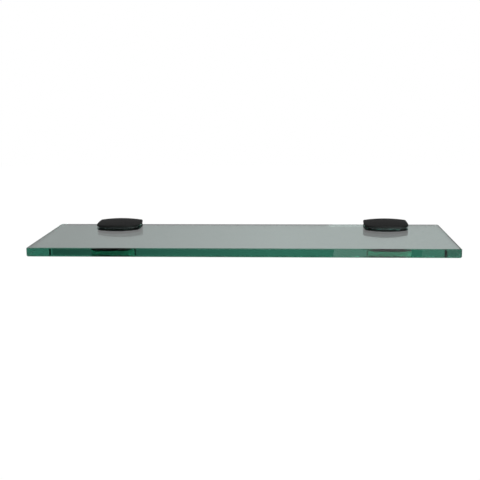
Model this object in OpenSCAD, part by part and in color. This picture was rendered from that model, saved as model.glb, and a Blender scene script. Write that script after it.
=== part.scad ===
// Glass wall shelf held by a pair of adjustable clamp brackets.
// Frame: origin on the wall, midway between the four wall screws.
// +X along the wall to the right, +Y into the wall, +Z up. Millimetres.

/* [Glass] */
// Width of the glass panel, along the wall
glass_w = 457.2; // [400:0.1:900]
// Depth of the glass panel, away from the wall
glass_d = 152.4; // [120:0.1:250]
// Thickness of the glass panel
glass_t = 9.525; // [8:0.025:12]
// Flat ground on every long edge of the glass
glass_arris = 0.9; // [0.5:0.1:1.5]
// Radius of the upright corners of the glass
glass_corner_r = 3; // [2:0.5:8]
// How far the glass sits left of the middle of the brackets
glass_offset = 5; // [-10:0.5:10]

/* [Bracket] */
// Distance between the middles of the two brackets
bracket_spacing = 320; // [200:1:340]
// Width of a bracket, along the wall
bracket_w = 51; // [50:0.5:60]
// How far the upper jaw reaches over the glass
upper_reach = 32; // [30:0.5:36]
// How far the lower jaw reaches under the glass
lower_reach = 28; // [27:0.5:32]
// Radius of the front corners of the bracket
corner_r = 13; // [11:0.5:16]
// Radius of the bowed front of the bracket
bow_r = 70; // [60:1:120]
// Height of the top of the upper jaw above the glass
crown_h = 6.25; // [6.2:0.05:9]
// Radius of the domed top of the upper jaw
crown_r = 170; // [150:1:260]
// Depth of the lower jaw below the glass, at the wall
lower_h = 15.5; // [15.5:0.5:20]
// Radius of the domed underside of the lower jaw
belly_r = 120; // [110:1:200]

/* [Clamp] */
// How far the pressure plate drops when the clamp is opened
clamp_travel = 3; // [1:0.5:3]
// Diameter of the clamp screw
clamp_screw_d = 5; // [4.5:0.5:6]

/* [Wall fixing] */
// Distance between the upper and lower wall screw of a bracket
fixing_spacing = 11; // [9:0.5:12]
// Diameter of a wall screw's shank
wall_screw_d = 4.2; // [3.5:0.1:4.4]
// Length of a wall screw that goes into the wall
wall_screw_l = 36; // [25:1:50]

/* [Hidden] */
$fn = 96;
eps = 0.01;
// How far a cutter runs past the face that it opens
past = 1;
// Facets of the large spheres and of the bowed front
sphere_fn = 200;
bow_fn = 360;

// Glass panel
glass_z = -0.75;
glass_top = glass_z + glass_t;
wall_gap = 9;
glass_mid_y = -wall_gap - glass_d / 2;

// Bracket body
web_t = 8;
jaw_gap = 1;
jaw_z = glass_top + jaw_gap;
crown_y = -10.5;
crown_top = glass_top + crown_h;
upper_depth = wall_gap + upper_reach;
lower_depth = wall_gap + lower_reach;
seat_gap = 1.5;
lower_top = glass_z - seat_gap;
lower_bottom = glass_z - lower_h;
belly_y = 5;

// Pads and bumper
pad_t = 1.6;
pad_sink = pad_t - jaw_gap;
pad_inset = 2;
pad_rear_y = -11;
pad_slack = 0.1;
lower_pad_t = 1.2;
bumper_w = 50;
bumper_h = 9;
bumper_mid_z = glass_z + glass_t / 2;

// Pressure plate and what drives it
plate_w = 34;
plate_d = 17;
plate_t = 2.5;
plate_r = 4;
plate_y = -20.5;
plate_top = glass_z - lower_pad_t;
plate_slack = 0.3;
travel_spare = 0.3;
pocket_floor = plate_top - plate_t - clamp_travel - travel_spare;
lower_pad_w = 31;
lower_pad_d = 14;
neck_r = 1.5;
groove_r = 1.1;
neck_slack = 0.06;
ring_r = 2.8;
ring_t = 0.6;
ring_lift = 0.1;
ring_slack = 0.02;
ring_mouth_w = 1.87;
ring_recess_r = 3.4;
ring_recess_t = 1.2;
thread_slack = 0.05;
clamp_screw_l = 8.5;
clamp_key = 2.5;
clamp_key_depth = 3;
clamp_bevel = 0.6;
clamp_tip_bevel = 0.3;

// Wall plate, its screws and the screw that locks the body on it
wall_plate_w = 35;
wall_plate_t = 4;
wall_plate_bottom = -10.25;
wall_plate_top = 10.25;
hook_rise = 1.5;
lift_room = 1.8;
wall_plate_slack = 0.2;
screw_hole_slack = 0.15;
screw_hole_r = wall_screw_d / 2 + screw_hole_slack;
screw_head_r = 3.9;
screw_neck_r = 1.9;
screw_tip_l = 6;
screw_point_r = 0.2;
cross_w = 1.1;
cross_l = 4.4;
cross_t = 1.4;
lock_r = 2;
lock_y = -3.2;
lock_l = 5;
lock_key = 2;
lock_key_depth = 2;
lock_hole_rise = 0.2;
lock_slack = 0.02;

// Outline seen from above: straight sides from the wall, round front
// corners and a bowed front that runs tangent into the corners.
module bow_outline(width, depth, corner, bow) {
    centre_x = width / 2 - corner;
    bow_y = bow - depth;
    rise = sqrt(pow(bow - corner, 2) - pow(centre_x, 2));
    centre_y = bow_y - rise;
    lean = centre_x / rise;
    far = -depth - corner;
    translate([-width / 2, centre_y])
        square([width, -centre_y]);
    for (side = [-1, 1])
        translate([side * centre_x, centre_y])
            circle(r = corner);
    intersection() {
        translate([0, bow_y])
            circle(r = bow, $fn = bow_fn);
        polygon([
            [-lean * bow_y, 0], [lean * bow_y, 0],
            [lean * (bow_y - far), far], [-lean * (bow_y - far), far],
        ]);
    }
}

// Rectangle with round corners, centred
module round_rect(width, depth, radius) {
    square([width - 2 * radius, depth], center = true);
    square([width, depth - 2 * radius], center = true);
    for (x = [-1, 1], y = [-1, 1])
        translate([x * (width / 2 - radius), y * (depth / 2 - radius)])
            circle(r = radius);
}

// Half-section of a sheet whose two edges are ground off at 45 degrees
module arris_section(inner, outer, thickness, arris) {
    polygon([
        [inner, 0], [outer - arris, 0], [outer, arris],
        [outer, thickness - arris], [outer - arris, thickness],
        [inner, thickness],
    ]);
}

// Sheet with round corners and a ground arris right round both faces
module arrised_sheet(width, depth, thickness, radius, arris) {
    for (turn = [0, 180])
        rotate([0, 0, turn])
            rotate([90, 0, 0])
                translate([0, 0, radius - depth / 2])
                    linear_extrude(depth - 2 * radius)
                        arris_section(-eps, width / 2, thickness, arris);
    for (turn = [90, 270])
        rotate([0, 0, turn])
            rotate([90, 0, 0])
                translate([0, 0, radius - width / 2])
                    linear_extrude(width - 2 * radius)
                        arris_section(-eps, depth / 2, thickness, arris);
    for (x = [-1, 1], y = [-1, 1])
        translate([x * (width / 2 - radius), y * (depth / 2 - radius), 0])
            rotate_extrude()
                arris_section(0, radius, thickness, arris);
}

module glass_panel() {
    color("lightseagreen", 0.5)
        translate([-glass_offset, glass_mid_y, glass_z])
            arrised_sheet(glass_w, glass_d, glass_t, glass_corner_r, glass_arris);
}

// Side view of the wall plate: its top edge slopes up towards the room,
// so that the bracket body hooks over it.
module hook_section(front, bottom, top) {
    slope = hook_rise / wall_plate_t;
    polygon([
        [0, bottom], [-front, bottom],
        [-front, top + slope * front], [0, top],
    ]);
}

// Sweeps a side view, drawn in Y and Z, along X, centred
module along_x(length) {
    rotate([90, 0, 90])
        linear_extrude(length, center = true)
            children();
}

module upper_pad_outline(inset) {
    intersection() {
        bow_outline(bracket_w - 2 * inset, upper_depth - inset, corner_r - inset, bow_r - inset);
        translate([-bracket_w / 2, -2 * upper_depth])
            square([bracket_w, 2 * upper_depth + pad_rear_y + pad_inset - inset]);
    }
}

// Cast body: upper jaw, web behind the glass and lower jaw in one piece
module bracket_body() {
    color([0.14, 0.14, 0.14])
        difference() {
            intersection() {
                union() {
                    translate([0, 0, jaw_z])
                        linear_extrude(crown_h)
                            bow_outline(bracket_w, upper_depth, corner_r, bow_r);
                    translate([-bracket_w / 2, -web_t, lower_bottom])
                        cube([bracket_w, web_t, crown_top - lower_bottom]);
                    translate([0, 0, lower_bottom])
                        linear_extrude(lower_top - lower_bottom)
                            bow_outline(bracket_w, lower_depth, corner_r, bow_r);
                }
                translate([0, crown_y, crown_top - crown_r])
                    sphere(r = crown_r, $fn = sphere_fn);
                translate([0, belly_y, lower_bottom + belly_r])
                    sphere(r = belly_r, $fn = sphere_fn);
            }
            // Seat of the upper pad
            translate([0, 0, jaw_z - past])
                linear_extrude(past + pad_sink)
                    upper_pad_outline(pad_inset - pad_slack);
            // Seat of the rear bumper, open at both ends
            translate([0, -web_t, bumper_mid_z])
                cube([bracket_w + 2 * past, 2 * pad_sink, bumper_h + 2 * pad_slack], center = true);
            // Pocket that guides the pressure plate
            translate([0, plate_y, pocket_floor])
                linear_extrude(lower_top - pocket_floor + past)
                    round_rect(plate_w + 2 * plate_slack, plate_d + 2 * plate_slack, plate_r + plate_slack);
            // Tapped hole of the clamp screw
            translate([0, plate_y, lower_bottom - past])
                cylinder(d = clamp_screw_d, h = pocket_floor - lower_bottom + 2 * past);
            // Pocket that hooks over the wall plate
            along_x(wall_plate_w + 2 * wall_plate_slack)
                hook_section(
                    wall_plate_t + wall_plate_slack,
                    wall_plate_bottom - lift_room,
                    wall_plate_top
                );
            // Tapped hole of the lock screw, up to the foot of the wall plate
            translate([0, lock_y, lower_bottom - past])
                cylinder(r = lock_r, h = wall_plate_bottom - lower_bottom + past + lock_hole_rise);
        }
}

// Soft pad between the upper jaw and the top of the glass
module upper_pad() {
    color([0.08, 0.08, 0.09])
        translate([0, 0, glass_top])
            linear_extrude(pad_t)
                upper_pad_outline(pad_inset);
}

// Soft strip between the web and the rear edge of the glass
module rear_bumper() {
    color([0.09, 0.09, 0.10])
        translate([-bumper_w / 2, -wall_gap, bumper_mid_z - bumper_h / 2])
            cube([bumper_w, pad_t, bumper_h]);
}

// Plate that slides up in the lower jaw and grips the glass
module pressure_plate() {
    plate_bottom = plate_top - plate_t;
    color([0.45, 0.46, 0.47])
        difference() {
            translate([0, plate_y, plate_bottom])
                linear_extrude(plate_t)
                    round_rect(plate_w, plate_d, plate_r);
            translate([0, plate_y, plate_bottom - past])
                cylinder(r = neck_r + neck_slack, h = plate_t + 2 * past);
            translate([0, plate_y, plate_top - ring_recess_t])
                cylinder(r = ring_recess_r, h = ring_recess_t + past);
        }
}

// Soft pad between the pressure plate and the underside of the glass
module lower_pad() {
    color([0.08, 0.08, 0.09])
        translate([0, plate_y, plate_top])
            linear_extrude(lower_pad_t)
                round_rect(lower_pad_w, lower_pad_d, plate_r - 1);
}

// Screw turned from below: thread, neck through the plate, groove, tip
module clamp_screw() {
    shoulder = plate_top - plate_t;
    floor_z = plate_top - ring_recess_t;
    groove_z = floor_z + ring_lift;
    thread_r = clamp_screw_d / 2 - thread_slack;
    color([0.30, 0.30, 0.31])
        translate([0, plate_y, 0])
            difference() {
                union() {
                    translate([0, 0, shoulder - clamp_screw_l])
                        cylinder(r1 = thread_r - clamp_bevel, r2 = thread_r, h = clamp_bevel);
                    translate([0, 0, shoulder - clamp_screw_l + clamp_bevel])
                        cylinder(r = thread_r, h = clamp_screw_l - clamp_bevel);
                    translate([0, 0, shoulder - eps])
                        cylinder(r = neck_r, h = groove_z - shoulder + eps);
                    translate([0, 0, groove_z - eps])
                        cylinder(r = groove_r, h = ring_t + 2 * eps);
                    translate([0, 0, groove_z + ring_t])
                        cylinder(r1 = neck_r, r2 = neck_r - clamp_tip_bevel, h = clamp_tip_bevel);
                }
                translate([0, 0, shoulder - clamp_screw_l - past])
                    cylinder(d = clamp_key / cos(30), h = clamp_key_depth + past, $fn = 6);
            }
}

// Open clip in the groove of the clamp screw, above the pressure plate
module retaining_ring() {
    groove_z = plate_top - ring_recess_t + ring_lift;
    color("silver")
        translate([0, plate_y, groove_z])
            difference() {
                cylinder(r = ring_r, h = ring_t);
                translate([0, 0, -past])
                    cylinder(r = groove_r + ring_slack, h = ring_t + 2 * past);
                translate([-ring_mouth_w / 2, 0, -past])
                    cube([ring_mouth_w, ring_r + past, ring_t + 2 * past]);
            }
}

// Clearance hole and countersink for a wall screw, head towards the room
module screw_hole() {
    cone_h = screw_head_r - screw_neck_r;
    slack = screw_hole_r - screw_neck_r;
    rotate([90, 0, 0]) {
        translate([0, 0, -past])
            cylinder(r = screw_hole_r, h = wall_plate_t + 2 * past);
        translate([0, 0, wall_plate_t - cone_h + slack])
            cylinder(r1 = screw_hole_r, r2 = screw_head_r, h = cone_h - slack);
    }
}

// Steel plate screwed to the wall, with a hooked top edge
module wall_plate() {
    color([0.62, 0.63, 0.65])
        difference() {
            along_x(wall_plate_w)
                hook_section(wall_plate_t, wall_plate_bottom, wall_plate_top);
            for (side = [-1, 1])
                translate([0, 0, side * fixing_spacing / 2])
                    screw_hole();
        }
}

// Countersunk cross-head screw: plain neck in the wall plate, then the
// thread, which stands out of the plate along +Y
module wall_screw() {
    thread_r = wall_screw_d / 2;
    thread_l = wall_screw_l - screw_tip_l;
    cone_h = screw_head_r - screw_neck_r;
    difference() {
        rotate([-90, 0, 0]) {
            translate([0, 0, -wall_plate_t])
                cylinder(r1 = screw_head_r, r2 = screw_neck_r, h = cone_h);
            translate([0, 0, -wall_plate_t])
                cylinder(r = screw_neck_r, h = wall_plate_t + eps);
            cylinder(r = thread_r, h = thread_l);
            translate([0, 0, thread_l])
                cylinder(r1 = thread_r, r2 = screw_point_r, h = screw_tip_l);
        }
        for (turn = [0, 90])
            rotate([0, turn, 0])
                translate([-cross_l / 2, -wall_plate_t - past, -cross_w / 2])
                    cube([cross_l, cross_t + past, cross_w]);
    }
}

module wall_screws() {
    color("gold")
        for (side = [-1, 1])
            translate([0, 0, side * fixing_spacing / 2])
                wall_screw();
}

// Grub screw that holds the body up against the foot of the wall plate
module lock_screw() {
    color([0.28, 0.28, 0.29])
        translate([0, lock_y, wall_plate_bottom - lock_l])
            difference() {
                cylinder(r = lock_r - lock_slack, h = lock_l);
                translate([0, 0, -past])
                    cylinder(d = lock_key / cos(30), h = lock_key_depth + past, $fn = 6);
            }
}

// Puts a bracket piece at the left bracket, -1, or the right one, 1
module at_bracket(side) {
    translate([side * bracket_spacing / 2, 0, 0])
        children();
}

glass_panel();
at_bracket(-1) bracket_body();  // left_bracket_body
at_bracket(-1) upper_pad();  // left_upper_pad
at_bracket(-1) rear_bumper();  // left_rear_bumper
at_bracket(-1) wall_plate();  // left_wall_plate
at_bracket(-1) wall_screws();  // left_wall_screws
at_bracket(-1) lock_screw();  // left_lock_screw
at_bracket(-1) pressure_plate();  // left_pressure_plate
at_bracket(-1) lower_pad();  // left_lower_pad
at_bracket(-1) clamp_screw();  // left_clamp_screw
at_bracket(-1) retaining_ring();  // left_retaining_ring
at_bracket(1) bracket_body();  // right_bracket_body
at_bracket(1) upper_pad();  // right_upper_pad
at_bracket(1) rear_bumper();  // right_rear_bumper
at_bracket(1) wall_plate();  // right_wall_plate
at_bracket(1) wall_screws();  // right_wall_screws
at_bracket(1) lock_screw();  // right_lock_screw
at_bracket(1) pressure_plate();  // right_pressure_plate
at_bracket(1) lower_pad();  // right_lower_pad
at_bracket(1) clamp_screw();  // right_clamp_screw
at_bracket(1) retaining_ring();  // right_retaining_ring
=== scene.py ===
import math

import bmesh
import bpy
from mathutils import Matrix, Vector


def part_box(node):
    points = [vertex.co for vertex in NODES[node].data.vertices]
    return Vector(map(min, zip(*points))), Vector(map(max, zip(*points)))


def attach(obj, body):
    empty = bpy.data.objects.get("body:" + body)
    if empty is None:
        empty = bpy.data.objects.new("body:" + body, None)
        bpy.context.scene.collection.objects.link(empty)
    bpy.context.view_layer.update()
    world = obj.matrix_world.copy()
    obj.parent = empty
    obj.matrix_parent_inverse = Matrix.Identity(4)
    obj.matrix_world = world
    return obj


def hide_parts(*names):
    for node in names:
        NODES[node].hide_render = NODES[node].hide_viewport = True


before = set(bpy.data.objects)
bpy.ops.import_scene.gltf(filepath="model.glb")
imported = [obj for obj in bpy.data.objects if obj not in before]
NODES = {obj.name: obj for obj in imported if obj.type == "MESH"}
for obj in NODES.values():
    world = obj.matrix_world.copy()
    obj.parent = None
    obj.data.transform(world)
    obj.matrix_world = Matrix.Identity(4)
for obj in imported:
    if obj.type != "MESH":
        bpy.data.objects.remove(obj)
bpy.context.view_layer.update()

SIDES = ("left", "right")
MM = 0.001

# Camera, placed from the glass panel: metres, degrees, and millimetres for the lens
EYE_RIGHT = 0.0486
EYE_BACK = 0.9153
EYE_ABOVE = 0.1904
YAW = -3.12
PITCH = 10.617
ROLL = -0.42
SENSOR = 36.0
LENS = 67.1
VIEW_END = 100.0

# Meshes: the distance below which points are merged, and the angles in degrees below
# which edges are shaded smooth
WELD = 0.002 * MM
SMOOTH_BELOW = 32.0
THREAD_SMOOTH_BELOW = 40.0
RING_STEPS = 36
HOLE_STEPS = 48
ROUND_STEPS = 6
# How far a cutter runs past the face that it opens
PAST = 1.0 * MM

# Plan of the jaws. REAR_SHARE is the part of an inset that also moves the rear edge.
CORNER_R = 13 * MM
BOW_R = 70 * MM
REAR_R = 0.8 * MM
LEAST_R = 0.02 * MM
REAR_SHARE = 0.3
REAR_ARC_STEPS = 5
SIDE_STEPS = 6
CORNER_STEPS = 16
BOW_STEPS = 10
REAR_STEPS = 16

# Domes of the jaws, their rounded edges, and the rings of points that lead in to their hubs
CROWN_R = 170 * MM
CROWN_Y = -10.5 * MM
BELLY_R = 120 * MM
BELLY_Y = 5 * MM
EDGE_R = 1.1 * MM
EDGE_STEPS = 6
LIP_R = 0.45 * MM
LIP_STEPS = 4
HUB_SHARE = 0.45
DOME_SHARES = (0.9, 0.75, 0.6, 0.45, 0.3, 0.15)

# Bracket casting: gaps over and under the glass, the web, and how much less far the lower
# jaw reaches. The jaws stand back from the wall by REAR_GAP, the web by nothing.
JAW_GAP = 1.0 * MM
SEAT_GAP = 1.5 * MM
LOWER_SHORTFALL = 0.125
REAR_GAP = 0.15 * MM
WEB_T = 8 * MM
WEB_INSET = 0.35 * MM
WEB_OVERLAP = 2 * MM

# Pockets and holes of the casting
SLACK = 0.1 * MM
PAD_TOP_SLACK = 0.02 * MM
POCKET_SLACK = 0.3 * MM
POCKET_R = 4.3 * MM
POCKET_DROP = 3.3 * MM
LIFT_ROOM = 1.8 * MM
HOOK_RISE = 1.5 * MM
MOUTH = 0.5 * MM
CLAMP_SLACK = 0.05 * MM
LOCK_SLACK = 0.02 * MM
LOCK_RISE = 0.2 * MM

# Thread profiles: the share of the pitch taken by the root, and by a flank
METRIC_ROOT = 0.1
METRIC_FLANK = 0.75
WOOD_ROOT = 0.62
WOOD_FLANK = 0.33
ROWS_PER_TURN = 10

# Clamp screw. The pairs are millimetres: inward from the crest or the neck, and up from
# the lower end, down from the shoulder or down from the tip.
BOLT_PITCH = 0.8 * MM
BOLT_DEPTH = 0.45 * MM
BOLT_RUN_IN = 0.9 * MM
BOLT_RUN_OUT = 0.5 * MM
BOLT_START = 0.1 * MM
BOLT_STOP = 0.3 * MM
LOWER_END = ((0.7, 0.0), (0.55, 0.05))
SHOULDER = ((0.45, 0.2), (0.55, 0.05), (0.65, 0.0))
TIP = ((0.25, 0.02), (0.35, 0.0))
NECK_R = 1.5 * MM
GROOVE_R = 1.1 * MM
GROOVE_EDGE = 0.01 * MM
CLAMP_KEY = 2.5 * MM
CLAMP_KEY_DEPTH = 3 * MM

# Lock screw
GRUB_PITCH = 0.7 * MM
GRUB_DEPTH = 0.4 * MM
GRUB_RUN = 0.6 * MM
GRUB_END = 0.05 * MM
GRUB_FOOT_INSET = 0.7 * MM
GRUB_TIP_INSET = 0.6 * MM
GRUB_KEY = 2 * MM
GRUB_KEY_DEPTH = 2 * MM

# Wood screws
WOOD_PITCH = 1.9 * MM
WOOD_CREST_R = 2.1 * MM
WOOD_DEPTH = 0.72 * MM
WOOD_RUN_IN = 1.5 * MM
WOOD_RUN_OUT = 0.4 * MM
WOOD_ROWS_PER_TURN = 12
WOOD_NECK_R = 1.9 * MM
WOOD_NECK_END = 0.3 * MM
WOOD_TIP_L = 6 * MM
WOOD_POINT = 0.06
WOOD_TAPER = 0.8
HEAD_BEVEL = 0.25 * MM
HEAD_BEVEL_T = 0.12 * MM
HEAD_RIM_T = 0.3 * MM
CROSS_L = 4.2 * MM
CROSS_W = 1.0 * MM
CROSS_DEPTH = 1.4 * MM

# Glass: its ground arrises slope by 45 degrees, and light from a lamp passes the panel
# with little loss
GLASS_IOR = 1.52
GLASS_TINT = (0.0, 0.583, 0.445, 1)
GLASS_DENSITY = 18.6
GLASS_SHADOW = 0.1
ARRIS_ROUGH = 0.25
ARRIS_SLOPE = math.cos(math.radians(45))
ARRIS_SPAN = 0.2
EDGE_BOUNCES = 20

# Studio. A fade is a value at its start and at its end, then where it starts and ends.
SKY_STOPS = ((0.0, 0.6), (0.36, 0.5), (0.5, 0.46), (0.62, 0.44), (0.75, 0.30), (1.0, 1.0))
SKY_SIDE_FADE = (1.05, 0.85, -0.28, 0.28)
SKY_FRONT_FADE = (0.4, 1.0, -0.7, 0.1)
FLOOR_HALF = 12.0
FLOOR_DROP = 1.15
FLOOR_COLOR = (0.02, 0.02, 0.02, 1)
# The floor's grey to everything but the camera is painted light, a glow that these fades grade
FLOOR_GLOW_SIDE_FADE = (0.2, 0.49, -1.8, 0.0)
FLOOR_GLOW_FRONT_FADE = (0.12, 1.0, -5.6, -4.2)
# Name, place from the middle of the glass's top, width and height, radiance
LAMPS = (
    ("high_strip", (0.222, -1.345, 0.35), (0.125, 0.5), 1.2),
    ("low_strip", (0.2555, -1.345, -0.30), (0.192, 0.5), 1.2),
    ("fill_softbox", (0.67, -1.345, -0.24), (0.6, 0.7), 0.5),
    ("key_softbox", (-0.5, -1.3, 1.0), (1.0, 1.0), 1.5),
    ("rim_softbox", (0.30, -0.75, 0.95), (0.35, 0.7), 8.0),
    ("side_softbox", (0.42, -0.6, 0.0), (0.4, 0.16), 34.0),
)
LAMP_SEEN_THROUGH_GLASS = "high_strip"


# ---------------------------------------------------------------- helpers

def vec(x, y, z):
    return Vector((x, y, z))


def new_object(name, bm, smooth_below=SMOOTH_BELOW):
    """A mesh object from bm, shaded smooth with its sharper edges kept crisp."""
    bmesh.ops.recalc_face_normals(bm, faces=bm.faces)
    limit = math.radians(smooth_below)
    for face in bm.faces:
        face.smooth = True
    for edge in bm.edges:
        edge.smooth = edge.calc_face_angle(math.pi) < limit
    mesh = bpy.data.meshes.new(name)
    bm.to_mesh(mesh)
    bm.free()
    piece = bpy.data.objects.new(name, mesh)
    bpy.context.scene.collection.objects.link(piece)
    return piece


def combine(name, base, others, operation):
    """base with the others joined to it or cut from it, as one new object."""
    for other in others:
        step = base.modifiers.new("step", "BOOLEAN")
        step.operation = operation
        step.solver = "EXACT"
        step.object = other
    depsgraph = bpy.context.evaluated_depsgraph_get()
    mesh = bpy.data.meshes.new_from_object(base.evaluated_get(depsgraph), depsgraph=depsgraph)
    for piece in [base, *others]:
        bpy.data.objects.remove(piece)
    bm = bmesh.new()
    bm.from_mesh(mesh)
    bpy.data.meshes.remove(mesh)
    bmesh.ops.remove_doubles(bm, verts=bm.verts, dist=WELD)
    bmesh.ops.dissolve_degenerate(bm, edges=bm.edges, dist=WELD)
    return new_object(name, bm)


def stack_rings(bm, rings, close_end=True):
    """Quads between rings of points, each ring as long as the next. The first ring is
    filled, and the last one too if close_end is set. Returns the rings of vertices."""
    rows = [[bm.verts.new(p) for p in ring] for ring in rings]
    count = len(rows[0])
    for low, high in zip(rows, rows[1:]):
        for i in range(count):
            j = (i + 1) % count
            bm.faces.new((low[i], low[j], high[j], high[i]))
    bm.faces.new(rows[0])
    if close_end:
        bm.faces.new(rows[-1])
    return rows


def arc(cx, cy, radius, start, end, steps):
    """Points of an arc, angles in degrees, both ends included."""
    turns = [math.radians(start + (end - start) * i / steps) for i in range(steps + 1)]
    return [(cx + radius * math.cos(t), cy + radius * math.sin(t)) for t in turns]


def bow_outline(width, depth, inset):
    """Plan of a jaw: round rear corners on the wall, straight sides, round front
    corners and a bowed front. inset shrinks it evenly, but less at the rear."""
    half = width / 2 - inset
    corner = CORNER_R - inset
    bow = BOW_R - inset
    rear = max(REAR_R - inset, LEAST_R)
    centre_x = half - corner
    bow_y = BOW_R - depth
    rise = math.sqrt((bow - corner) ** 2 - centre_x ** 2)
    centre_y = bow_y - rise
    lean = math.degrees(math.atan2(centre_x, rise))
    back = -inset * REAR_SHARE
    points = arc(half - rear, back - rear, rear, 90, 0, REAR_ARC_STEPS)
    top, bottom = back - rear, centre_y
    points += [(half, top + (bottom - top) * i / SIDE_STEPS) for i in range(1, SIDE_STEPS)]
    points += arc(centre_x, centre_y, corner, 0, lean - 90, CORNER_STEPS)
    points += arc(0, bow_y, bow, lean - 90, -90, BOW_STEPS)[1:]
    points += [(-x, y) for x, y in reversed(points[:-1])]
    left, right = points[-1][0], points[0][0]
    return points + [(left + (right - left) * i / REAR_STEPS, back) for i in range(1, REAR_STEPS)]


def quarter(radius, steps):
    """(inset, drop) pairs round a convex edge, from the side to the face."""
    turns = [math.radians(90 * i / steps) for i in range(steps + 1)]
    return [(radius * (1 - math.cos(t)), radius * (1 - math.sin(t))) for t in turns]


def jaw_mesh(name, middle_x, width, depth, flat_z, dome_z, up):
    """One jaw of the casting: flat towards the glass, domed away from it.
    dome_z(x, y) gives the dome's height. up is 1 for the upper jaw, -1 for the lower."""
    bm = bmesh.new()
    rings = []

    def ring(inset, height):
        outline = bow_outline(width, depth, inset)
        rings.append([vec(middle_x + x, y - REAR_GAP, height(x, y)) for x, y in outline])

    for inset, drop in reversed(quarter(LIP_R, LIP_STEPS)):
        ring(inset, lambda x, y, d=drop: flat_z + up * d)
    for inset, drop in quarter(EDGE_R, EDGE_STEPS):
        ring(inset, lambda x, y, d=drop: dome_z(x, y) - up * d)
    edge = bow_outline(width, depth, EDGE_R)
    hub_y = -depth * HUB_SHARE
    for share in DOME_SHARES:
        spots = [(x * share, hub_y + (y - hub_y) * share) for x, y in edge]
        rings.append([vec(middle_x + x, y - REAR_GAP, dome_z(x, y)) for x, y in spots])
    last = stack_rings(bm, rings, close_end=False)[-1]
    tip = bm.verts.new(vec(middle_x, hub_y - REAR_GAP, dome_z(0.0, hub_y)))
    for i, vert in enumerate(last):
        bm.faces.new((vert, last[(i + 1) % len(last)], tip))
    return new_object(name, bm)


def round_rect(width, depth, radius):
    """Outline of a rectangle with round corners, centred on zero."""
    x, y = width / 2 - radius, depth / 2 - radius
    corners = ((x, y, 0), (-x, y, 90), (-x, -y, 180), (x, -y, 270))
    return [
        point
        for cx, cy, start in corners
        for point in arc(cx, cy, radius, start, start + 90, ROUND_STEPS)
    ]


def prism(name, outline, low_z, high_z, middle_x, middle_y=0.0):
    """An upright prism on an outline."""
    bm = bmesh.new()
    rings = [[vec(middle_x + x, middle_y + y, z) for x, y in outline] for z in (low_z, high_z)]
    stack_rings(bm, rings)
    return new_object(name, bm)


def turned(name, profile, middle_x, middle_y):
    """A solid of revolution about an upright axis, from (radius, z) pairs."""
    bm = bmesh.new()
    turns = [2 * math.pi * i / HOLE_STEPS for i in range(HOLE_STEPS)]
    rings = [
        [vec(middle_x + r * math.cos(t), middle_y + r * math.sin(t), z) for t in turns]
        for r, z in profile
    ]
    stack_rings(bm, rings)
    return new_object(name, bm)


def bar_along_x(name, section, middle_x, length):
    """A bar along X with the given (y, z) outline."""
    bm = bmesh.new()
    rings = [[vec(middle_x + end * length / 2, y, z) for y, z in section] for end in (-1, 1)]
    stack_rings(bm, rings)
    return new_object(name, bm)


# ---------------------------------------------------------------- bracket casting

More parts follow.
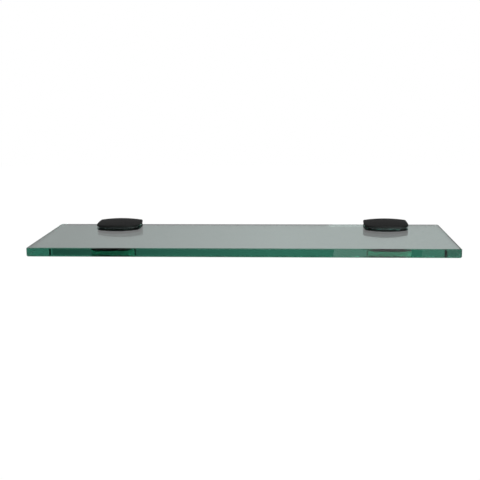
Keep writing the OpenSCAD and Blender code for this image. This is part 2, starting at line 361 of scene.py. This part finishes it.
def bracket_casting(side):
    """Cast body with rounded edges: two domed jaws joined by a web, with the
    pockets, holes and pad seats that the CAD body has."""
    low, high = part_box(f"{side}_bracket_body")
    glass_low, glass_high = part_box("glass_panel")
    pad_low, pad_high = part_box(f"{side}_upper_pad")
    bumper_low, bumper_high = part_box(f"{side}_rear_bumper")
    plate_low, plate_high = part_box(f"{side}_pressure_plate")
    clamp_low, clamp_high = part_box(f"{side}_clamp_screw")
    lock_low, lock_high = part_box(f"{side}_lock_screw")
    wall_low, wall_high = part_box(f"{side}_wall_plate")
    middle = (low.x + high.x) / 2
    width = high.x - low.x
    jaw_z = glass_high.z + JAW_GAP
    seat_z = glass_low.z - SEAT_GAP
    upper_depth = -low.y - REAR_GAP
    lower_depth = upper_depth - (upper_depth + glass_high.y) * LOWER_SHORTFALL

    def crown(x, y):
        return high.z - CROWN_R + math.sqrt(CROWN_R ** 2 - x ** 2 - (y - CROWN_Y) ** 2)

    belly_top = low.z + BELLY_R - math.sqrt(BELLY_R ** 2 - BELLY_Y ** 2)

    def belly(x, y):
        sag = math.sqrt(BELLY_R ** 2 - x ** 2 - (y - BELLY_Y) ** 2)
        return low.z + BELLY_R - sag - (belly_top - low.z)

    upper = jaw_mesh("upper", middle, width, upper_depth, jaw_z, crown, 1)
    lower = jaw_mesh("lower", middle, width, lower_depth, seat_z, belly, -1)
    web_outline = round_rect(width - 2 * WEB_INSET, WEB_T, REAR_R)
    web = prism("web", web_outline, seat_z - WEB_OVERLAP, jaw_z + WEB_OVERLAP, middle, -WEB_T / 2)
    solid = combine("solid", upper, [web, lower], "UNION")

    pad_width = pad_high.x - pad_low.x + 2 * SLACK
    pad_front = pad_low.y - SLACK
    pad_rear = pad_high.y + SLACK
    pad_seat = [(x, min(y, pad_rear)) for x, y in bow_outline(pad_width, -pad_front, 0)]
    bumper_seat = [
        (bumper_high.y, bumper_low.z - SLACK), (bumper_high.y, bumper_high.z + SLACK),
        (bumper_low.y - PAST, bumper_high.z + SLACK), (bumper_low.y - PAST, bumper_low.z - SLACK),
    ]
    plate_pocket = round_rect(
        plate_high.x - plate_low.x + 2 * POCKET_SLACK,
        plate_high.y - plate_low.y + 2 * POCKET_SLACK,
        POCKET_R,
    )
    pocket_y = (plate_low.y + plate_high.y) / 2
    wall_front = wall_low.y - 2 * SLACK
    hook = HOOK_RISE * wall_front / wall_low.y
    hook_z = wall_high.z - HOOK_RISE
    wall_pocket = [
        (PAST, wall_low.z - LIFT_ROOM), (PAST, hook_z - HOOK_RISE * PAST / -wall_low.y),
        (wall_front, hook_z + hook), (wall_front, wall_low.z - LIFT_ROOM),
    ]
    cutters = [
        prism("pad_seat", pad_seat, jaw_z - PAST, pad_high.z + PAD_TOP_SLACK, middle),
        bar_along_x("bumper_seat", bumper_seat, middle, width + 2 * PAST),
        prism("plate_pocket", plate_pocket, plate_low.z - POCKET_DROP, seat_z + PAST, middle, pocket_y),
        bar_along_x("wall_pocket", wall_pocket, middle, wall_high.x - wall_low.x + 4 * SLACK),
    ]
    for hole_low, hole_high, top_z, slack in (
        (clamp_low, clamp_high, plate_low.z, CLAMP_SLACK),
        (lock_low, lock_high, wall_low.z + LOCK_RISE, LOCK_SLACK),
    ):
        radius = (hole_high.x - hole_low.x) / 2
        hole_r = radius + slack
        mouth_z = belly(0, (hole_low.y + hole_high.y) / 2)
        profile = [
            (hole_r + MOUTH + 2 * PAST, mouth_z - 2 * PAST), (hole_r, mouth_z + MOUTH),
            (hole_r, top_z),
        ]
        cutters.append(turned("screw_hole", profile, middle, hole_low.y + radius))
    casting = combine(f"{side}_bracket_casting", solid, cutters, "DIFFERENCE")
    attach(casting, "wall_frame")
    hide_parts(f"{side}_bracket_body")
    return casting


# ---------------------------------------------------------------- threaded pieces

def metric_thread(phase):
    """Height of a metric thread, 0 at the root and 1 at the crest."""
    rise = abs(2 * phase - 1)
    return min(max((rise - METRIC_ROOT) / METRIC_FLANK, 0.0), 1.0)


def wood_thread(phase):
    """Height of a wood screw's thread: narrow crests on a wide root."""
    rise = abs(2 * phase - 1)
    return min(max((rise - WOOD_ROOT) / WOOD_FLANK, 0.0), 1.0)


def thread_rings(low_z, high_z, crest_r, depth, pitch, form, run_in, run_out, rows_per_turn=ROWS_PER_TURN):
    """Rings of (radius, angle, z) up a right-hand thread that fades in and out."""
    rows = max(2, round((high_z - low_z) / pitch * rows_per_turn))
    rings = []
    for row in range(rows + 1):
        z = low_z + (high_z - low_z) * row / rows
        fade = min(1.0, (z - low_z) / run_in, (high_z - z) / run_out)
        ring = []
        for step in range(RING_STEPS):
            turn = 2 * math.pi * step / RING_STEPS
            phase = (z / pitch - turn / (2 * math.pi)) % 1.0
            ring.append((crest_r - depth * (1 - form(phase) * fade), turn, z))
        rings.append(ring)
    return rings


def plain_ring(radius, z):
    return [(radius, 2 * math.pi * step / RING_STEPS, z) for step in range(RING_STEPS)]


def place_rings(rings, origin, axis):
    """Turns (radius, angle, z) rings into points about an axis, "Z" or "Y"."""
    placed = []
    for ring in rings:
        spots = [(r * math.cos(t), r * math.sin(t), z) for r, t, z in ring]
        if axis == "Y":
            spots = [(x, z, -y) for x, y, z in spots]
        placed.append([origin + vec(*spot) for spot in spots])
    return placed


def socket_cutter(key, low_z, depth, middle_x, middle_y):
    """Hexagon socket, cut upwards from low_z."""
    corner_r = key / 2 / math.cos(math.radians(30))
    turns = [math.radians(60 * i) for i in range(6)]
    outline = [(corner_r * math.cos(t), corner_r * math.sin(t)) for t in turns]
    return prism("socket", outline, low_z - PAST, low_z + depth, middle_x, middle_y)


def clamp_screw(side):
    """Socket set screw with its M5 thread, neck, clip groove and tip."""
    low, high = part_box(f"{side}_clamp_screw")
    plate_low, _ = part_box(f"{side}_pressure_plate")
    ring_low, ring_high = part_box(f"{side}_retaining_ring")
    middle = (low.x + high.x) / 2
    middle_y = (low.y + high.y) / 2
    crest_r = (high.x - low.x) / 2
    shoulder = plate_low.z
    rings = [plain_ring(crest_r - inset * MM, low.z + rise * MM) for inset, rise in LOWER_END]
    rings += thread_rings(
        low.z + BOLT_START, shoulder - BOLT_STOP, crest_r, BOLT_DEPTH, BOLT_PITCH, metric_thread,
        BOLT_RUN_IN, BOLT_RUN_OUT,
    )
    rings += [plain_ring(crest_r - inset * MM, shoulder - drop * MM) for inset, drop in SHOULDER]
    rings += [
        plain_ring(NECK_R, shoulder), plain_ring(NECK_R, ring_low.z - 2 * GROOVE_EDGE),
        plain_ring(GROOVE_R, ring_low.z - GROOVE_EDGE), plain_ring(GROOVE_R, ring_high.z + GROOVE_EDGE),
        plain_ring(NECK_R, ring_high.z + 2 * GROOVE_EDGE),
    ]
    rings += [plain_ring(NECK_R - inset * MM, high.z - drop * MM) for inset, drop in TIP]
    bm = bmesh.new()
    stack_rings(bm, place_rings(rings, vec(middle, middle_y, 0), "Z"))
    screw = combine(
        f"{side}_clamp_screw_threaded", new_object("screw", bm, THREAD_SMOOTH_BELOW),
        [socket_cutter(CLAMP_KEY, low.z, CLAMP_KEY_DEPTH, middle, middle_y)], "DIFFERENCE",
    )
    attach(screw, f"{side}_screw")
    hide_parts(f"{side}_clamp_screw")
    return screw


def lock_screw(side):
    """Short grub screw with an M4 thread and a socket in its lower end."""
    low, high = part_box(f"{side}_lock_screw")
    middle = (low.x + high.x) / 2
    middle_y = (low.y + high.y) / 2
    crest_r = (high.x - low.x) / 2
    rings = [plain_ring(crest_r - GRUB_FOOT_INSET, low.z)]
    rings += thread_rings(
        low.z + GRUB_END, high.z - GRUB_END, crest_r, GRUB_DEPTH, GRUB_PITCH, metric_thread,
        GRUB_RUN, GRUB_RUN,
    )
    rings.append(plain_ring(crest_r - GRUB_TIP_INSET, high.z))
    bm = bmesh.new()
    stack_rings(bm, place_rings(rings, vec(middle, middle_y, 0), "Z"))
    screw = combine(
        f"{side}_lock_screw_threaded", new_object("screw", bm, THREAD_SMOOTH_BELOW),
        [socket_cutter(GRUB_KEY, low.z, GRUB_KEY_DEPTH, middle, middle_y)], "DIFFERENCE",
    )
    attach(screw, "wall_frame")
    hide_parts(f"{side}_lock_screw")
    return screw


def wood_screw_rings(head_y, tip_y, head_r):
    """Rings of a countersunk wood screw, its head at head_y and its tip at tip_y."""
    cone_l = head_r - WOOD_NECK_R
    rings = [
        plain_ring(head_r - HEAD_BEVEL, head_y), plain_ring(head_r, head_y + HEAD_BEVEL_T),
        plain_ring(head_r, head_y + HEAD_RIM_T), plain_ring(WOOD_NECK_R, head_y + HEAD_RIM_T + cone_l),
        plain_ring(WOOD_NECK_R, -WOOD_NECK_END),
    ]
    thread = thread_rings(
        0.0, tip_y, WOOD_CREST_R, WOOD_DEPTH, WOOD_PITCH, wood_thread,
        WOOD_RUN_IN, WOOD_RUN_OUT, WOOD_ROWS_PER_TURN,
    )
    for ring in thread:
        y = ring[0][2]
        pinch = min(1.0, max(WOOD_POINT, (tip_y - y) / WOOD_TIP_L))
        rings.append([(r * pinch ** WOOD_TAPER, t, z) for r, t, z in ring])
    return rings


def wall_screws(side):
    """The two wood screws of a bracket, with coarse threads and cross recesses."""
    low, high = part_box(f"{side}_wall_screws")
    middle = (low.x + high.x) / 2
    head_r = (high.x - low.x) / 2
    bm = bmesh.new()
    centres = (low.z + head_r, high.z - head_r)
    for z in centres:
        rings = wood_screw_rings(low.y, high.y, head_r)
        stack_rings(bm, place_rings(rings, vec(middle, 0, z), "Y"))
    cutters = []
    for z in centres:
        for wide, tall in ((CROSS_L, CROSS_W), (CROSS_W, CROSS_L)):
            section = [
                (low.y - PAST, z - tall / 2), (low.y + CROSS_DEPTH, z - tall / 2),
                (low.y + CROSS_DEPTH, z + tall / 2), (low.y - PAST, z + tall / 2),
            ]
            cutters.append(bar_along_x("recess", section, middle, wide))
    screws = combine(
        f"{side}_wall_screws_threaded", new_object("screws", bm, THREAD_SMOOTH_BELOW),
        cutters, "DIFFERENCE",
    )
    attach(screws, "wall_frame")
    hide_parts(f"{side}_wall_screws")
    return screws


# ---------------------------------------------------------------- materials

def new_material(name):
    material = bpy.data.materials.new(name)
    material.use_nodes = True
    tree = material.node_tree
    shader = next(n for n in tree.nodes if n.type == "BSDF_PRINCIPLED")
    return material, tree, shader


def noise(tree, scale, detail=3.0, rough=0.5):
    """A noise texture in object space, with its feature size set by scale, in 1/m."""
    place = tree.nodes.new("ShaderNodeTexCoord")
    texture = tree.nodes.new("ShaderNodeTexNoise")
    texture.inputs["Scale"].default_value = scale
    texture.inputs["Detail"].default_value = detail
    texture.inputs["Roughness"].default_value = rough
    tree.links.new(place.outputs["Object"], texture.inputs["Vector"])
    return texture.outputs[0]


def spread(tree, value, low, high, from_low=0.3, from_high=0.7):
    """value, rescaled to run from low to high."""
    remap = tree.nodes.new("ShaderNodeMapRange")
    remap.inputs["From Min"].default_value = from_low
    remap.inputs["From Max"].default_value = from_high
    remap.inputs["To Min"].default_value = low
    remap.inputs["To Max"].default_value = high
    tree.links.new(value, remap.inputs["Value"])
    return remap.outputs["Result"]


def product(tree, first, second):
    """first times second."""
    node = tree.nodes.new("ShaderNodeMath")
    node.operation = "MULTIPLY"
    tree.links.new(first, node.inputs[0])
    tree.links.new(second, node.inputs[1])
    return node.outputs[0]


def tint(tree, value, dark, light):
    """A colour between dark and light, picked by value."""
    mix = tree.nodes.new("ShaderNodeMix")
    mix.data_type = "RGBA"
    mix.inputs[6].default_value = (*dark, 1)
    mix.inputs[7].default_value = (*light, 1)
    tree.links.new(value, mix.inputs[0])
    return mix.outputs[2]


def coated(name, colors, mottle, rough, grain, relief, height, strength):
    """A material mottled between two colours, with a fine grain in its roughness and a
    fine relief. mottle, grain and relief are the settings of their noise textures."""
    material, tree, shader = new_material(name)
    link = tree.links.new
    link(tint(tree, spread(tree, noise(tree, *mottle), 0, 1), *colors), shader.inputs["Base Color"])
    link(spread(tree, noise(tree, *grain), *rough), shader.inputs["Roughness"])
    bump = tree.nodes.new("ShaderNodeBump")
    bump.inputs["Distance"].default_value = height
    bump.inputs["Strength"].default_value = strength
    link(noise(tree, *relief), bump.inputs["Height"])
    link(bump.outputs[0], shader.inputs["Normal"])
    return material, shader


def arris_mask(tree, smooth, ground):
    """ground on the narrow slanted faces along the glass's edges, smooth elsewhere."""
    geometry = tree.nodes.new("ShaderNodeNewGeometry")
    split = tree.nodes.new("ShaderNodeSeparateXYZ")
    tree.links.new(geometry.outputs["Normal"], split.inputs[0])
    size = tree.nodes.new("ShaderNodeMath")
    size.operation = "ABSOLUTE"
    tree.links.new(split.outputs["Z"], size.inputs[0])
    slant = tree.nodes.new("ShaderNodeMath")
    slant.operation = "COMPARE"
    slant.inputs[1].default_value = ARRIS_SLOPE
    slant.inputs[2].default_value = ARRIS_SPAN
    tree.links.new(size.outputs[0], slant.inputs[0])
    return spread(tree, slant.outputs[0], smooth, ground, 0, 1)


def glass_material():
    """Clear float glass: faint green through its thickness, deep green through its
    length. Shadow rays mostly pass it, so that lamps light what is behind it."""
    material, tree, shader = new_material("clear_glass")
    shader.inputs["Base Color"].default_value = (1, 1, 1, 1)
    shader.inputs["IOR"].default_value = GLASS_IOR
    shader.inputs["Transmission Weight"].default_value = 1.0
    tree.links.new(arris_mask(tree, 0.0, ARRIS_ROUGH), shader.inputs["Roughness"])
    path = tree.nodes.new("ShaderNodeLightPath")
    solid = spread(tree, path.outputs["Is Shadow Ray"], 1.0, GLASS_SHADOW, 0, 1)
    tree.links.new(solid, shader.inputs["Alpha"])
    volume = tree.nodes.new("ShaderNodeVolumeAbsorption")
    volume.inputs["Color"].default_value = GLASS_TINT
    volume.inputs["Density"].default_value = GLASS_DENSITY
    out = next(n for n in tree.nodes if n.type == "OUTPUT_MATERIAL")
    tree.links.new(volume.outputs[0], out.inputs["Volume"])
    return material


def casting_material():
    """Satin black powder coat on zinc, with its fine orange peel."""
    material, shader = coated(
        "black_casting", colors=((0.002, 0.002, 0.0021), (0.005, 0.005, 0.005)), mottle=(220, 4),
        rough=(0.54, 0.70), grain=(900, 3), relief=(1500, 2, 0.4), height=0.00006, strength=0.5,
    )
    shader.inputs["Specular IOR Level"].default_value = 0.17
    return material


def rubber_material():
    """Matte black silicone."""
    material, _ = coated(
        "black_pad", colors=((0.016, 0.016, 0.017), (0.026, 0.026, 0.027)), mottle=(500,),
        rough=(0.62, 0.8), grain=(1500,), relief=(4000,), height=0.00003, strength=0.5,
    )
    return material


def bumper_material():
    """Milky translucent silicone."""
    material, shader = coated(
        "milky_silicone", colors=((0.50, 0.52, 0.50), (0.66, 0.68, 0.66)), mottle=(260, 4),
        rough=(0.45, 0.6), grain=(1500,), relief=(3000,), height=0.00003, strength=0.4,
    )
    shader.inputs["Subsurface Weight"].default_value = 0.3
    shader.inputs["Subsurface Radius"].default_value = (0.002, 0.002, 0.002)
    return material


def metal_material(name, colors, rough, mottle, grain):
    """Plated or blackened steel: mottled in colour, with a fine grain."""
    material, shader = coated(
        name, colors=colors, mottle=(mottle, 4), rough=rough, grain=(grain, 3), relief=(grain, 3),
        height=0.00002, strength=0.6,
    )
    shader.inputs["Metallic"].default_value = 1.0
    return material


def paint(piece, material):
    piece.data.materials.clear()
    piece.data.materials.append(material)


# ---------------------------------------------------------------- studio

def make_camera():
    """The camera looks a little down on the shelf from in front of its middle."""
    low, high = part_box("glass_panel")
    data = bpy.data.cameras.new("camera")
    data.sensor_width = SENSOR
    data.lens = LENS
    data.clip_end = VIEW_END
    camera = bpy.data.objects.new("camera", data)
    bpy.context.scene.collection.objects.link(camera)
    camera.location = ((low.x + high.x) / 2 + EYE_RIGHT, low.y - EYE_BACK, low.z + EYE_ABOVE)
    yaw, pitch, roll = (math.radians(a) for a in (YAW, PITCH, ROLL))
    forward = vec(math.sin(yaw) * math.cos(pitch), math.cos(yaw) * math.cos(pitch), -math.sin(pitch))
    right = vec(math.cos(yaw), -math.sin(yaw), 0.0)
    up = right.cross(forward)
    tilted_right = right * math.cos(roll) + up * math.sin(roll)
    tilted_up = up * math.cos(roll) - right * math.sin(roll)
    turn = Matrix((tilted_right, tilted_up, -forward)).transposed()
    camera.rotation_euler = turn.to_euler()
    bpy.context.scene.camera = camera


def make_world():
    """White backdrop to the camera, and a soft grey studio to everything else. The
    studio is graded upwards, and darker to the right and in front."""
    world = bpy.data.worlds.new("studio")
    bpy.context.scene.world = world
    world.use_nodes = True
    tree = world.node_tree
    tree.nodes.clear()
    new = tree.nodes.new
    link = tree.links.new
    split = new("ShaderNodeSeparateXYZ")
    link(new("ShaderNodeTexCoord").outputs["Generated"], split.inputs[0])
    ramp = new("ShaderNodeValToRGB")
    link(spread(tree, split.outputs["Z"], 0, 1, -1, 1), ramp.inputs[0])
    elements = ramp.color_ramp.elements
    elements[0].position = SKY_STOPS[0][0]
    elements[1].position = SKY_STOPS[-1][0]
    for place, _ in SKY_STOPS[1:-1]:
        elements.new(place)
    for element, (_, value) in zip(elements, SKY_STOPS):
        element.color = (value, value, value, 1)
    sky = new("ShaderNodeBackground")
    link(ramp.outputs[0], sky.inputs["Color"])
    side = spread(tree, split.outputs["X"], *SKY_SIDE_FADE)
    front = spread(tree, split.outputs["Y"], *SKY_FRONT_FADE)
    link(product(tree, side, front), sky.inputs["Strength"])
    white = new("ShaderNodeBackground")
    white.inputs["Color"].default_value = (1, 1, 1, 1)
    white.inputs["Strength"].default_value = 1.0
    mix = new("ShaderNodeMixShader")
    link(new("ShaderNodeLightPath").outputs["Is Camera Ray"], mix.inputs[0])
    link(sky.outputs[0], mix.inputs[1])
    link(white.outputs[0], mix.inputs[2])
    link(mix.outputs[0], new("ShaderNodeOutputWorld").inputs["Surface"])


def make_floor():
    """A wide floor far below the shelf that glows with painted light: white to the camera, and
    to everything else a grey glow, dimmer to the left and far in front."""
    low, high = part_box("glass_panel")
    bm = bmesh.new()
    bmesh.ops.create_grid(bm, x_segments=1, y_segments=1, size=FLOOR_HALF)
    floor = new_object("floor", bm)
    floor.location = ((low.x + high.x) / 2, (low.y + high.y) / 2, low.z - FLOOR_DROP)
    material, tree, shader = new_material("floor")
    shader.inputs["Base Color"].default_value = FLOOR_COLOR
    shader.inputs["Specular IOR Level"].default_value = 0.0
    shader.inputs["Roughness"].default_value = 1.0
    shader.inputs["Emission Color"].default_value = (1, 1, 1, 1)
    new = tree.nodes.new
    link = tree.links.new
    split = new("ShaderNodeSeparateXYZ")
    link(new("ShaderNodeTexCoord").outputs["Object"], split.inputs[0])
    side = spread(tree, split.outputs["X"], *FLOOR_GLOW_SIDE_FADE)
    front = spread(tree, split.outputs["Y"], *FLOOR_GLOW_FRONT_FADE)
    # Painted light: the floor's emission strength, white to the camera and a graded grey glow to other
    # rays
    floor_glow = new("ShaderNodeMix")
    link(new("ShaderNodeLightPath").outputs["Is Camera Ray"], floor_glow.inputs[0])
    link(product(tree, side, front), floor_glow.inputs[2])
    floor_glow.inputs[3].default_value = 1.0
    link(floor_glow.outputs[0], shader.inputs["Emission Strength"])
    paint(floor, material)


def softbox(name, location, target, wide, tall, glow):
    """A soft rectangular lamp at location, aimed at target. glow is its radiance."""
    data = bpy.data.lights.new(name, "AREA")
    data.shape = "RECTANGLE"
    data.size = wide
    data.size_y = tall
    data.energy = glow * math.pi * wide * tall
    lamp = bpy.data.objects.new(name, data)
    lamp.location = location
    lamp.rotation_euler = (target - location).to_track_quat("-Z", "Y").to_euler()
    bpy.context.scene.collection.objects.link(lamp)
    return lamp


def make_lamps():
    """The softboxes, all aimed at the glass. The strips are to the right of the camera and
    show in the front edge of the glass. The low side softbox lights the rear bumpers."""
    low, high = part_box("glass_panel")
    middle = vec((low.x + high.x) / 2, (low.y + high.y) / 2, high.z)
    for name, place, (wide, tall), glow in LAMPS:
        lamp = softbox(name, middle + vec(*place), middle, wide, tall, glow)
        lamp.visible_camera = False
        lamp.visible_transmission = name == LAMP_SEEN_THROUGH_GLASS


def make_pieces():
    """Replaces the castings and screws, and paints every piece."""
    casting = casting_material()
    rubber = rubber_material()
    silicone = bumper_material()
    zinc = metal_material(
        "plated_steel", colors=((0.50, 0.52, 0.55), (0.66, 0.67, 0.69)), rough=(0.22, 0.38),
        mottle=300, grain=2500,
    )
    black_steel = metal_material(
        "black_steel", colors=((0.045, 0.045, 0.05), (0.09, 0.09, 0.095)), rough=(0.3, 0.45),
        mottle=900, grain=4000,
    )
    yellow_steel = metal_material(
        "yellow_steel", colors=((0.62, 0.46, 0.20), (0.80, 0.68, 0.38)), rough=(0.2, 0.34),
        mottle=350, grain=3000,
    )
    paint(NODES["glass_panel"], glass_material())
    for side in SIDES:
        paint(bracket_casting(side), casting)
        paint(clamp_screw(side), black_steel)
        paint(lock_screw(side), black_steel)
        paint(wall_screws(side), yellow_steel)
        paint(NODES[f"{side}_rear_bumper"], silicone)
        for node in ("upper_pad", "lower_pad"):
            paint(NODES[f"{side}_{node}"], rubber)
        for node in ("wall_plate", "pressure_plate", "retaining_ring"):
            paint(NODES[f"{side}_{node}"], zinc)


def main():
    make_camera()
    make_world()
    make_floor()
    make_lamps()
    make_pieces()
    scene = bpy.context.scene
    scene.view_settings.view_transform = "Standard"
    # Light is turned back many times inside the panel on its way to an edge
    scene.cycles.glossy_bounces = EDGE_BOUNCES
    scene.cycles.transmission_bounces = EDGE_BOUNCES
    scene.cycles.max_bounces = EDGE_BOUNCES


main()
